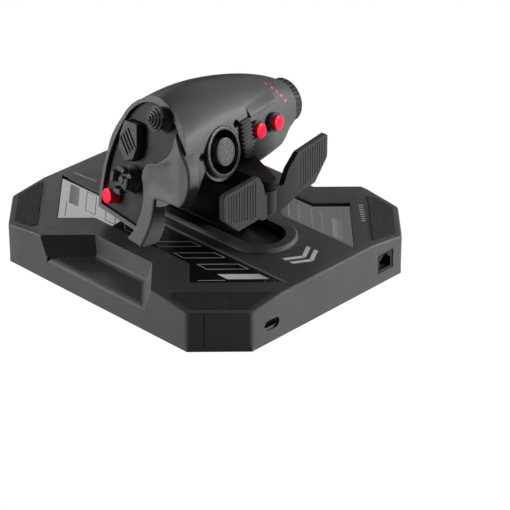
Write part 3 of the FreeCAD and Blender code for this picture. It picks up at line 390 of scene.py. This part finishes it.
def softened(node, voxel, rounds, reshape=None, after=None):
    """Skin whose edges are rounded off as a soft-formed surface."""
    obj = skin(node, reshape=reshape)
    cast = obj.modifiers.new("cast", "REMESH")
    cast.mode = "VOXEL"
    cast.voxel_size = voxel * MM
    cast.use_smooth_shade = True
    smooth = obj.modifiers.new("smooth", "SMOOTH")
    smooth.factor = 0.5
    smooth.iterations = rounds
    bpy.context.view_layer.update()
    done = bpy.data.meshes.new_from_object(obj.evaluated_get(bpy.context.evaluated_depsgraph_get()))
    obj.modifiers.clear()
    obj.data = done
    done.materials.clear()
    done.materials.append(finish_of(node))
    if after:
        for vert in done.vertices:
            vert.co = after(vert.co / MM) * MM
    for face in done.polygons:
        face.use_smooth = True
    return obj


def saddle(p):
    """Raised lip along the rest's upper edge and a shallow dish below it."""
    q = local(THUMB, p)
    if q.z > -1.5:
        crest = 4.5 + 0.35 * (q.x - 12)
        lip = math.exp(-((q.y - crest) / 3.2) ** 2) * ease((q.x + 2) / 6) * ease((26 - q.x) / 8)
        dish = math.exp(-((q.y + 8.5) / 6.5) ** 2) * ease((q.x - 2) / 8) * ease((40 - q.x) / 12)
        ridge = math.exp(-((q.x - 34 + 0.25 * q.y) / 5.0) ** 2) * ease((q.y + 14) / 10)
        q.z += (1.5 * lip - 1.1 * dish + 1.3 * ridge) * ease((q.z + 1.5) / 1.5)
    return world_of(THUMB, q)


def lathe(bm, axes, at, profile, segments=56):
    """Adds a turned form on a face: profile is a list of (radius, height)."""
    rings = []
    for radius, height in profile:
        if radius < 0.01:
            rings.append([bm.verts.new(world_of(axes, (at[0], at[1], height)) * MM)])
            continue
        ring = []
        for i in range(segments):
            angle = 2 * math.pi * i / segments
            across, up = at[0] + radius * math.cos(angle), at[1] + radius * math.sin(angle)
            ring.append(bm.verts.new(world_of(axes, (across, up, height)) * MM))
        rings.append(ring)
    for low, high in zip(rings, rings[1:]):
        for i in range(segments):
            j = (i + 1) % segments
            if len(high) == 1 and len(low) > 1:
                bm.faces.new((low[i], low[j], high[0]))
            elif len(low) > 1:
                bm.faces.new((low[i], low[j], high[j], high[i]))


def tower(bm, axes, at, middle, spread, inner, outer, low, high, flare):
    """Adds one flared tower of the castle-shaped hat."""
    steps = 8
    grid = []
    half_way = (low + high) / 2
    for height, push in ((low, 0.0), (half_way, flare * 0.35), (high - 0.5, flare), (high, flare - 0.5)):
        shrink = 0.0 if height < high else 0.5
        row = []
        for radius in (outer + push - shrink * 0.2, inner + push * 0.6 + shrink):
            arc = []
            for i in range(steps + 1):
                angle = math.radians(middle + (spread - shrink * 5) * (i / steps - 0.5))
                arc.append(bm.verts.new(world_of(axes, (at[0] + radius * math.cos(angle),
                                                        at[1] + radius * math.sin(angle), height)) * MM))
            row.append(arc)
        grid.append(row[0] + row[1][::-1])
    count = len(grid[0])
    for lower, upper in zip(grid, grid[1:]):
        for i in range(count):
            j = (i + 1) % count
            bm.faces.new((lower[i], lower[j], upper[j], upper[i]))
    bm.faces.new(grid[-1])
    bm.faces.new(grid[0][::-1])


# ---------------------------------------------------------------- skins of the moulded parts
for node in ("slot_bezel", "stick_ring", "front_button_inner", "front_button_outer", "neck", "button_bezels",
             "paddle_rocker", "thumb_panel"):
    skin(node)
skin("base_housing")
skin("dial_wheel", reshape=smaller_dial)
front_shell = skin("grip_front_shell", reshape=fuller_grip)
skin("grip_rear_shell", reshape=fuller_grip)
skin("finger_rocker", 0.2 * MM)
skin("rocker_arm", 0.6 * MM)
skin("thumb_button", reshape=lambda p: p + THUMB[3] * 1.2)
softened("thumb_rest", 0.5, 10, slim_leg, saddle)
softened("thumb_rocker", 0.32, 5, lambda p: p + THUMB[3] * 1.8)

# ---------------------------------------------------------------- lower edge of the housing's corners
low_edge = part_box("bottom_cover")[0].z / MM
half_x, half_y = 89.96, 102.46  # just inside the housing's faces
chamfer, run = 26.28, 24.0      # cut-off corner, and how far the skirt runs along each side
skirt_wall, skirt_height = 2.6, 2.62
miter = 1.1                     # set-back that keeps the wall even round each corner
bm = bmesh.new()
for sx in (1, -1):
    for sy in (1, -1):
        edge = [(half_x, half_y - chamfer - run), (half_x, half_y - chamfer),
                (half_x - chamfer, half_y), (half_x - chamfer - run, half_y)]
        inner = [(half_x - skirt_wall, half_y - chamfer - run), (half_x - skirt_wall, half_y - chamfer - miter),
                 (half_x - chamfer - miter, half_y - skirt_wall), (half_x - chamfer - run, half_y - skirt_wall)]
        for i in range(3):
            outline = (edge[i], edge[i + 1], inner[i + 1], inner[i])
            plate(bm, [(sx * x, sy * y) for x, y in outline], low_edge, low_edge + skirt_height)
bmesh.ops.recalc_face_normals(bm, faces=bm.faces)
place("corner_skirts", bm, shell_black, "base")

# ---------------------------------------------------------------- thumb hats and the stick's cap
mushroom_at = (5.9, 28.4)       # places on the thumb face
castle_at = (-11.9, -16.3)
panel = -2.4                    # height of the sunk thumb panel
stem_radius, stem_low = 3.0, panel + 0.8
hat_low = panel + 6.6           # height of the hats' undersides


def turned(name, node, at, profile, body):
    """Turned piece on the thumb face with a CAD node's finish."""
    bm = bmesh.new()
    lathe(bm, THUMB, at, profile)
    bmesh.ops.recalc_face_normals(bm, faces=bm.faces)
    return place(name, bm, finish_of(node), body, TURNED)


boot = [(8.6, panel), (8.6, panel + 0.9), (8.1, panel + 1.4), (6.6, panel + 2.2), (5.4, panel + 3.3),
        (5.1, panel + 4.0), (4.7, panel + 3.9), (4.7, panel + 0.2)]
mushroom_boot = turned("mushroom_boot", "hat_collars", mushroom_at, boot, "carriage")
turned("castle_boot", "hat_collars", castle_at, boot, "carriage")
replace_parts(mushroom_boot, "hat_collars")

ridges = [(0, stem_low), (stem_radius, stem_low), (stem_radius, hat_low - 0.6), (6.6, hat_low - 0.4),
          (7.5, hat_low)]
for radius, rise in ((7.6, 0.6), (6.1, 2.0), (4.6, 3.2), (3.1, 4.2), (1.6, 5.0)):
    ridges += [(radius, hat_low + rise), (radius - 0.15, hat_low + rise + 0.55),
               (radius - 0.75, hat_low + rise + 0.75), (radius - 1.05, hat_low + rise + 0.35)]
ridges.append((0, hat_low + 5.5))
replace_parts(turned("mushroom_hat_cap", "mushroom_hat", mushroom_at, ridges, "mushroom"), "mushroom_hat")

bm = bmesh.new()
dish = [(0, stem_low), (stem_radius, stem_low), (stem_radius, hat_low - 1.6), (6.0, hat_low - 1.2),
        (7.7, hat_low - 0.2), (8.2, hat_low + 0.5), (8.0, hat_low + 1.2), (7.0, hat_low + 1.4),
        (4.0, hat_low + 0.9), (2.7, hat_low + 0.9), (2.6, hat_low + 2.2), (2.1, hat_low + 2.7),
        (0, hat_low + 2.8)]
lathe(bm, THUMB, castle_at, dish)
for quarter in range(4):
    tower(bm, THUMB, castle_at, 90 * quarter, 56, 4.9, 7.7, hat_low + 0.7, hat_low + 4.4, 0.9)
bmesh.ops.recalc_face_normals(bm, faces=bm.faces)
castle = place("castle_hat_cap", bm, finish_of("castle_hat"), "castle", TURNED)
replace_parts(castle, "castle_hat")

bm = bmesh.new()
cap = [(0, -9), (2.4, -9), (2.4, -5.6), (5.6, -5.0), (7.0, -3.6), (7.3, -1.0), (6.9, 0.4), (7.4, 0.9),
       (8.2, 1.5), (8.4, 2.2), (8.4, 3.6), (8.1, 4.2), (7.5, 4.5), (5.0, 4.6), (0, 4.62)]
lathe(bm, FRONT, (0, 0), cap)
bmesh.ops.recalc_face_normals(bm, faces=bm.faces)
stick_top = place("stick_cap_top", bm, finish_of("stick_cap"), "stick", TURNED)
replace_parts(stick_top, "stick_cap")

line_half, line_low = 0.2, 4.4  # half width and foot of the lines on the cap
hub, rim = 1.7, 6.9             # radii between which the spokes run
bm = bmesh.new()
for radius in (hub, 3.4, 5.2, rim):
    small, large = radius - line_half, radius + line_half
    lathe(bm, FRONT, (0, 0), [(small, line_low), (small, 4.66), (large, 4.66), (large, line_low)])
for i in range(8):
    angle = math.radians(45 * i + 15)
    c, q = math.cos(angle), math.sin(angle)
    pts = [(hub * c - line_half * q, hub * q + line_half * c),
           (hub * c + line_half * q, hub * q - line_half * c),
           (rim * c + line_half * q, rim * q - line_half * c),
           (rim * c - line_half * q, rim * q + line_half * c)]
    low = [bm.verts.new(world_of(FRONT, (x, y, line_low)) * MM) for x, y in pts]
    high = [bm.verts.new(world_of(FRONT, (x, y, 4.67)) * MM) for x, y in pts]
    bm.faces.new(high)
    for k in range(4):
        bm.faces.new((low[k], low[(k + 1) % 4], high[(k + 1) % 4], high[k]))
bmesh.ops.recalc_face_normals(bm, faces=bm.faces)
place("stick_cap_lines", bm, dark_ink, "stick")

# ---------------------------------------------------------------- brow over the finger shelf
surface = BVHTree.FromObject(front_shell, bpy.context.evaluated_depsgraph_get())


def on_shell(across, up):
    """Point and normal where a line square to the shelf meets the shell."""
    start = world_of(SHELF, (across, up, 40)) * MM
    hit = surface.ray_cast(start, -SHELF[3])
    return (hit[0], hit[1]) if hit[0] is not None else (None, None)


brow_start, brow_pitch, brow_steps = 2.0, 1.15, 37
# place up the shell and height off it
brow_section = ((9.0, -0.25), (6.0, 0.15), (3.4, 0.8), (1.6, 1.5), (0.9, 1.7))
sunk = 0.25                     # how far the faded ends lie under the shell
bm = bmesh.new()
rows = []
for i in range(brow_steps):
    across = brow_start + i * brow_pitch
    fade = ease(i / 4) * ease((brow_steps - 1 - i) / 5)
    row = []
    for up, lift in brow_section:
        point, normal = on_shell(across, up)
        if point is None:
            break
        row.append(point + normal * (-sunk + (lift + sunk) * fade) * MM)
    if len(row) < len(brow_section):
        continue
    lip = row[-1]
    row.append(lip - SHELF[2] * 0.9 * fade * MM - SHELF[3] * 0.2 * MM)
    row.append(lip - SHELF[2] * 1.3 * fade * MM - SHELF[3] * 1.1 * MM)
    row.append(lip - SHELF[2] * 0.9 * fade * MM - SHELF[3] * 4.0 * MM)
    rows.append([bm.verts.new(p) for p in row])
for a, b in zip(rows, rows[1:]):
    for k in range(len(a) - 1):
        bm.faces.new((a[k], b[k], b[k + 1], a[k + 1]))
bmesh.ops.recalc_face_normals(bm, faces=bm.faces)
place("shelf_brow", bm, grip_black, "carriage", 60)

# ---------------------------------------------------------------- scale beside the dial, printed on the shell
scale_marks = ((-40.0, 104.6, 0.9), (-42.0, 102.2, 1.1), (-44.3, 99.6, 1.3), (-46.6, 96.8, 1.6),
               (-49.0, 93.0, 2.6))
in_front = 60                   # y well ahead of the shell, from where each mark is projected
bm = bmesh.new()
for i, (x, z, size) in enumerate(scale_marks):
    half, left, right = size / 2, 0.3, 0.3 + 0.12 * i
    corners = []
    for dx, dz in ((-half, -left), (half, -right), (half, right), (-half, left)):
        hit = surface.ray_cast(Vector((x + dx, in_front, z + dz)) * MM, Vector((0, -1, 0)))
        if hit[0] is not None:
            corners.append(bm.verts.new(hit[0] + hit[1] * 0.05 * MM))
    if len(corners) == 4:
        bm.faces.new(corners)
place("dial_scale", bm, rose_ink, "carriage")


# ---------------------------------------------------------------- printed marks
def printed(name, material, draw):
    bm = bmesh.new()
    draw(bm)
    bmesh.ops.recalc_face_normals(bm, faces=bm.faces)
    return place(name, bm, material, "base")


inlay_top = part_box("right_inlay")[1].z / MM
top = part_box("slot_bezel")[1].z / MM - 2.6  # the deck lies below the top of the slot's lip
INK = 0.06
mark_outer, mark_inner, mark_length = 48.5, 31.5, 8.5


def slanted(x, y):
    """Parallelogram with two sides along Y and two at 45 degrees."""
    s = 1 if x > 0 else -1
    rise = mark_outer - mark_inner
    return [(s * mark_outer, y), (s * mark_inner, y + rise), (s * mark_inner, y + rise + mark_length),
            (s * mark_outer, y + mark_length)]


def outline_marks(bm):
    for sx in (1, -1):
        for sy, starts in ((1, (3.8, 23.4, 42.8)), (-1, (10.0, 27.0, 44.5))):
            for start in starts:
                pts = [(x, sy * y) for x, y in slanted(sx, start)]
                for i in range(4):
                    stroke(bm, pts[i], pts[(i + 1) % 4], 0.55, inlay_top, inlay_top + INK)
        stroke(bm, (sx * 61.7, 56.8), (sx * 50.4, 67.8), 0.5, inlay_top, inlay_top + INK)
        stroke(bm, (sx * 61.7, -56.8), (sx * 48.0, -70.2), 0.5, inlay_top, inlay_top + INK)


def solid_marks(bm):
    block_start = 59.5
    for sx in (1, -1):
        plate(bm, slanted(sx, block_start), inlay_top, inlay_top + INK)
        plate(bm, [(x, -y) for x, y in slanted(sx, block_start)], inlay_top, inlay_top + INK)


def edge_ticks(bm):
    """Two plain rows of short ticks on the deck."""
    for i in range(9):
        left = (21.6 - i * 0.16, -92.0 + i * 2.1)
        right = (20.4 - i * 0.16, -92.3 + i * 2.1)
        stroke(bm, left, right, 0.7, top, top + INK)
    for i in range(8):
        t = i / 7
        x, y = -70.5 + 13.5 * t, 63.2 + 14.4 * t
        stroke(bm, (x - 0.9, y + 0.9), (x + 0.9, y - 0.9), 0.8, top, top + INK)


def chevrons(bm):
    """Plain double chevron ahead of the slot."""
    for y in (76.5, 82.5):
        for s in (-1, 1):
            arm = [(s * 0.25, y + 4.2), (s * 10.5, y - 1.8), (s * 10.5, y + 1.2), (s * 0.25, y + 7.2)]
            plate(bm, arm, top, top + INK)


printed("inlay_lines", line_ink, outline_marks)
printed("inlay_blocks", pale_ink, solid_marks)
printed("deck_ticks", pale_ink, edge_ticks)
printed("deck_chevrons", pale_ink, chevrons)


# ---------------------------------------------------------------- camera, light and stage
EYE, AIM, LENS = (0.93229, 0.95138, 0.73684), (-0.0200, 0.0231, 0.0), 176.67
BASE, GRIP, FLOOR = (0, 0, 0.03), (0, 0, 0.06), (0, 0, 0)   # what the lights point at
LIGHTS = (                      # name, place, target, width, height, watts, seen in reflections
    ("right_box", (-1.15, 1.15, 0.12), BASE, 0.9, 0.24, 135, False),
    ("right_glow", (-1.25, 0.95, 0.55), (0, 0, 0.05), 0.8, 0.35, 8, True),
    ("left_glow", (0.90, -1.25, 0.50), (0, 0, 0.05), 0.8, 0.35, 5, True),
    ("left_box", (1.05, -1.20, 0.12), BASE, 0.9, 0.24, 104, False),
    ("back_card", (-1.12, -1.60, 1.05), BASE, 0.40, 0.55, 1.7, True),
    ("far_card", (-1.62, -1.10, 1.05), BASE, 0.55, 0.55, 0.75, True),
    ("top_box", (-0.5, -0.1, 1.6), FLOOR, 0.5, 0.5, 2.2, True),
    ("key_box", (0.2, 1.3, 1.0), GRIP, 0.5, 0.4, 1.2, True),
)
ROOM_LIGHT = 0.045
PAPER = (0.22, 0.22, 0.22, 1)

camera = bpy.data.objects.new("camera", bpy.data.cameras.new("camera"))
bpy.context.scene.collection.objects.link(camera)
bpy.context.scene.camera = camera
camera.data.lens = LENS
camera.data.sensor_width = 36.0
camera.location = EYE
look = Vector(AIM) - camera.location
camera.rotation_euler = look.to_track_quat("-Z", "Y").to_euler()
camera.data.clip_end = 50


for name, place_at, target, width, height, watts, glossy in LIGHTS:
    light = bpy.data.lights.new(name, "AREA")
    light.shape = "RECTANGLE"
    light.size, light.size_y = width, height
    light.energy = watts
    obj = bpy.data.objects.new(name, light)
    bpy.context.scene.collection.objects.link(obj)
    obj.location = place_at
    obj.rotation_euler = (Vector(target) - Vector(place_at)).to_track_quat("-Z", "Y").to_euler()
    obj.visible_glossy = glossy

bpy.context.scene.view_settings.view_transform = "Standard"


def for_camera(tree, lit, seen, output):
    """Shows one shader to the camera while another lights the object."""
    rays = tree.nodes.new("ShaderNodeLightPath")
    blend = tree.nodes.new("ShaderNodeMixShader")
    tree.links.new(rays.outputs["Is Camera Ray"], blend.inputs[0])
    tree.links.new(lit.outputs[0], blend.inputs[1])
    tree.links.new(seen.outputs[0], blend.inputs[2])
    tree.links.new(blend.outputs[0], output.inputs["Surface"])


world = bpy.data.worlds.new("world")
bpy.context.scene.world = world
world.use_nodes = True
tree = world.node_tree
room = tree.nodes["Background"]
room.inputs["Color"].default_value = (1, 1, 1, 1)
room.inputs["Strength"].default_value = ROOM_LIGHT
white = tree.nodes.new("ShaderNodeBackground")
white.inputs["Color"].default_value = (1, 1, 1, 1)
white.inputs["Strength"].default_value = 1.0
for_camera(tree, room, white, tree.nodes["World Output"])

floor_bm = bmesh.new()
bmesh.ops.create_grid(floor_bm, x_segments=2, y_segments=2, size=3.0)
floor_mesh = bpy.data.meshes.new("floor")
floor_bm.to_mesh(floor_mesh)
floor_bm.free()
floor = bpy.data.objects.new("floor", floor_mesh)
bpy.context.scene.collection.objects.link(floor)
paper = bpy.data.materials.new("paper")
paper.use_nodes = True
tree = paper.node_tree
diffuse = tree.nodes["Principled BSDF"]
diffuse.inputs["Base Color"].default_value = PAPER
diffuse.inputs["Roughness"].default_value = 0.9
glow = tree.nodes.new("ShaderNodeEmission")
glow.inputs["Color"].default_value = (1, 1, 1, 1)
for_camera(tree, diffuse, glow, tree.nodes["Material Output"])
floor_mesh.materials.append(paper)
